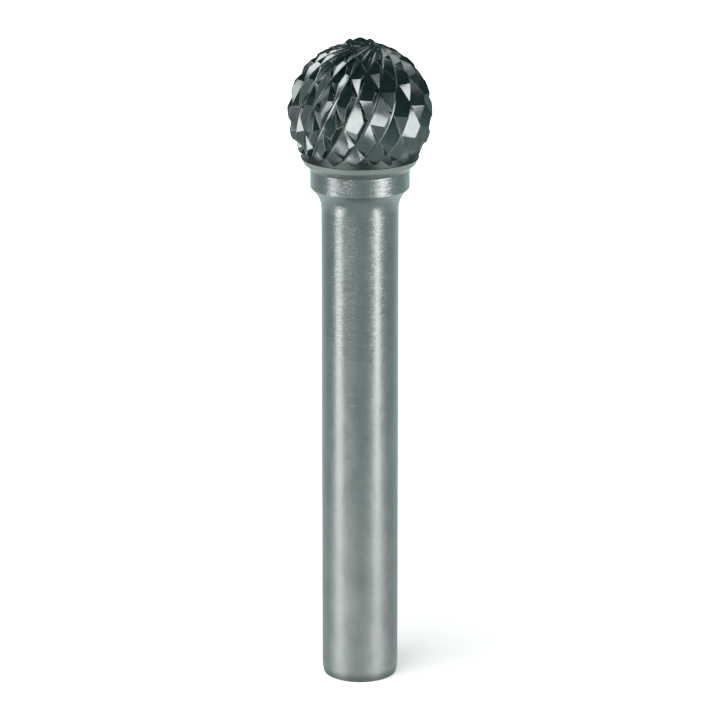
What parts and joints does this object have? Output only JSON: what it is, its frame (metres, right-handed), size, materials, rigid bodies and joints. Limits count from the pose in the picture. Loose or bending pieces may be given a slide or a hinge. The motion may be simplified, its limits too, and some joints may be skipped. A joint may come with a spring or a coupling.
{
  "type": "ball carbide burr",
  "caption": "Rotary burr with a diamond-cut carbide ball head brazed to a plain cylindrical steel shank with a collar.",
  "frame": {"origin": "centre of the shank's flat end", "axes": "+Z along the tool's axis from the shank's end to the tip of the ball; the tool stands on its shank end as in the picture, and the picture's viewpoint is at -Y"},
  "size_m": [0.0112, 0.0112, 0.0515],
  "materials": {
    "carbide": "ground tungsten carbide, dark and glossy, sharp bright facets",
    "silver_braze": "silver solder, pale and slightly dull",
    "shank_steel": "turned and ground steel, satin, with fine marks around the axis"
  },
  "bodies": {
    "root": {"carbide_head": "carbide", "braze_joint": "silver_braze", "steel_shank": "shank_steel"}
  },
  "joints": []
}
